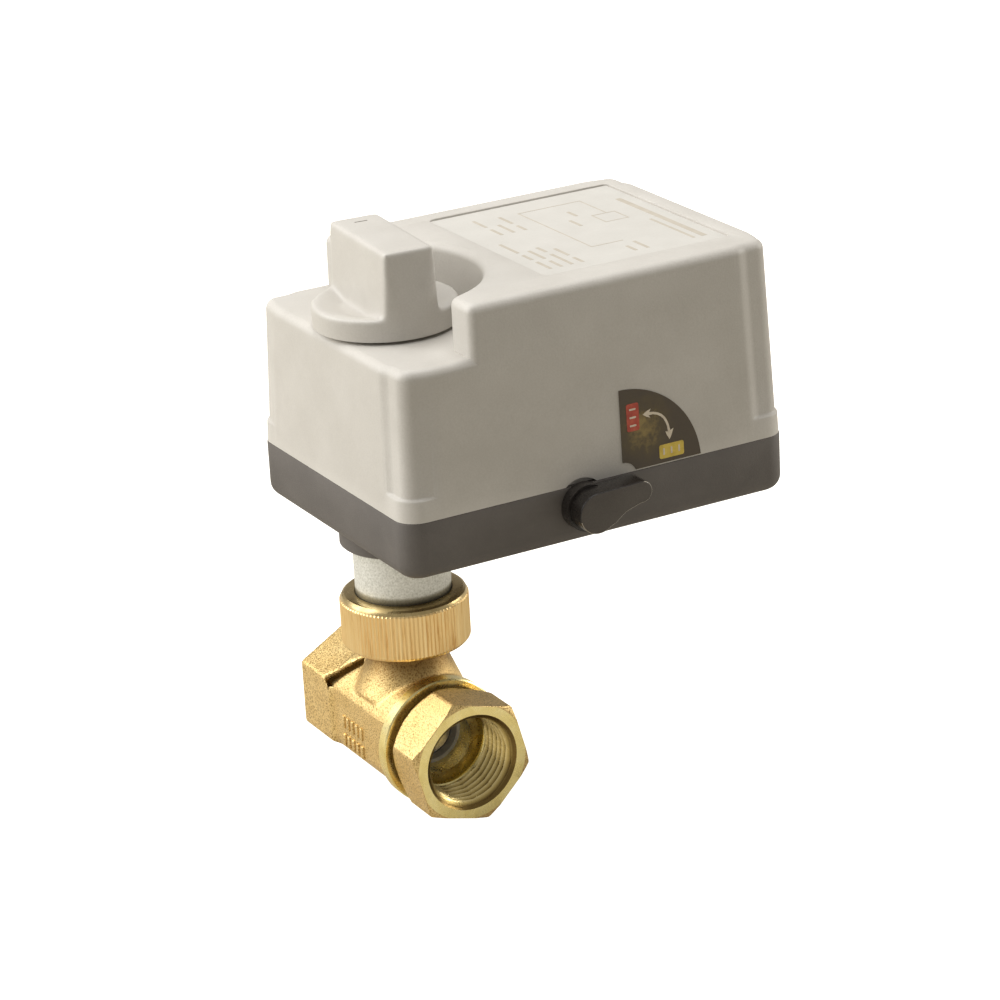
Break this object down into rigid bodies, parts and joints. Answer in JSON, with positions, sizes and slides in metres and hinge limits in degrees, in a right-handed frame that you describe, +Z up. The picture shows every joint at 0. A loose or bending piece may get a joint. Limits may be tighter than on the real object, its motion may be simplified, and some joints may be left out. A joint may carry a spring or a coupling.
{
  "type": "motorized ball valve",
  "caption": "Quarter-turn gear actuator with stepped two-part housing, position knob and manual lever, joined by a knurled union nut to a two-way threaded brass ball valve.",
  "frame": {"origin": "where the valve stem axis crosses the flow axis, at the centre of the ball; claimed as the ball_centre mount", "axes": "+Z up along the stem, away from the valve towards the knob; -Y out of the front port, the side that carries the manual lever; +X along the housing away from the knob"},
  "size_m": [0.0954, 0.076, 0.1268],
  "materials": {
    "forged_brass": "sand-blasted forging",
    "machined_brass": "forged hexagon with turned faces",
    "ball_steel": "polished plating",
    "ptfe": "smooth fluoropolymer",
    "steel": "turned",
    "rubber": "moulded",
    "knurled_brass": "straight knurl with turned ends",
    "zinc": "tumbled zinc die casting",
    "screw_steel": "zinc plated",
    "dark_plastic": "fine matte grain",
    "grey_plastic": "fine satin texture",
    "black_plastic": "satin",
    "mode_print": "printed film",
    "label_print": "printed film",
    "plate_steel": "zinc plated sheet",
    "pillar_brass": "turned",
    "sintered_steel": "sintered",
    "white_nylon": "moulded acetal",
    "spring_steel": "drawn wire",
    "red_plastic": "moulded",
    "board_green": "solder resist",
    "terminal_green": "moulded",
    "film_yellow": "moulded box"
  },
  "bodies": {
    "housing": {"valve_body": "forged_brass", "valve_end_cap": "machined_brass", "seat_front": "ptfe", "seat_rear": "ptfe", "stem_washer": "ptfe", "union_gasket": "rubber", "neck_sleeve": "zinc", "neck_screws": "screw_steel", "base_housing": "dark_plastic", "housing_gasket": "rubber", "cover": "grey_plastic", "cover_screws": "screw_steel", "shaft_seal": "rubber", "mode_label": "mode_print", "top_label": "label_print", "cable_grommet": "rubber", "frame_lower_plate": "plate_steel", "frame_upper_plate": "plate_steel", "frame_pillars": "pillar_brass", "frame_screws": "screw_steel", "shaft_bushings": "pillar_brass", "clutch_arbor": "steel", "fork_guide": "steel", "clutch_spring": "spring_steel", "motor_can": "plate_steel", "motor_screws": "screw_steel", "limit_switch_open": "black_plastic", "limit_switch_closed": "black_plastic", "switch_screws": "screw_steel", "circuit_board": "board_green", "board_screws": "screw_steel", "terminal_block": "terminal_green", "terminal_screws": "screw_steel", "run_capacitor": "film_yellow"},
    "drive": {"ball": "ball_steel", "valve_stem": "steel", "stem_orings": "rubber", "drive_coupler": "sintered_steel", "output_shaft": "steel", "output_sector": "sintered_steel", "cam_open": "white_nylon", "cam_closed": "white_nylon", "position_knob": "grey_plastic"},
    "nut": {"union_nut": "knurled_brass"},
    "lever": {"manual_lever": "black_plastic", "lever_shaft": "steel", "lever_seal": "rubber"},
    "fork": {"clutch_fork": "plate_steel"},
    "idler": {"clutch_gear": "white_nylon"},
    "pinion": {"motor_pinion": "steel"},
    "button_open": {"plunger_open": "red_plastic"},
    "button_closed": {"plunger_closed": "red_plastic"}
  },
  "joints": [
    {"name": "output_turn", "type": "hinge", "parent": "housing", "child": "drive", "pos_m": [0, 0, 0.06], "axis": [0, 0, 1], "range_deg": [0, 90]},
    {"name": "union_nut_turn", "type": "hinge", "parent": "housing", "child": "nut", "pos_m": [0, 0, 0.0256], "axis": [0, 0, 1], "continuous": true},
    {"name": "lever_turn", "type": "hinge", "parent": "housing", "child": "lever", "pos_m": [0.0261, -0.0345, 0.0555], "axis": [0, -1, 0], "range_deg": [0, 76.1]},
    {"name": "fork_lift", "type": "slide", "parent": "housing", "child": "fork", "axis": [0, 0, 1], "range_m": [0, 0.00431], "deforming": ["clutch_spring"]},
    {"name": "idler_spin", "type": "hinge", "parent": "fork", "child": "idler", "pos_m": [0.03058, -0.00539, 0.07], "axis": [0, 0, 1], "range_deg": [-309, 1]},
    {"name": "pinion_spin", "type": "hinge", "parent": "housing", "child": "pinion", "pos_m": [0.04963, 0.00309, 0.075], "axis": [0, 0, 1], "range_deg": [-1, 1029]},
    {"name": "open_button_press", "type": "slide", "parent": "housing", "child": "button_open", "axis": [0, 1, 0], "range_m": [0, 0.001], "stiffness_N_per_m": 400},
    {"name": "closed_button_press", "type": "slide", "parent": "housing", "child": "button_closed", "axis": [0, 1, 0], "range_m": [0, 0.001], "stiffness_N_per_m": 400}
  ],
  "couplings": [
    {"joint": "lever_turn", "follows": "fork_lift", "rad_per_m": 307.79},
    {"joint": "idler_spin", "follows": "output_turn", "ratio": -3.4286},
    {"joint": "pinion_spin", "follows": "output_turn", "ratio": 11.429}
  ]
}
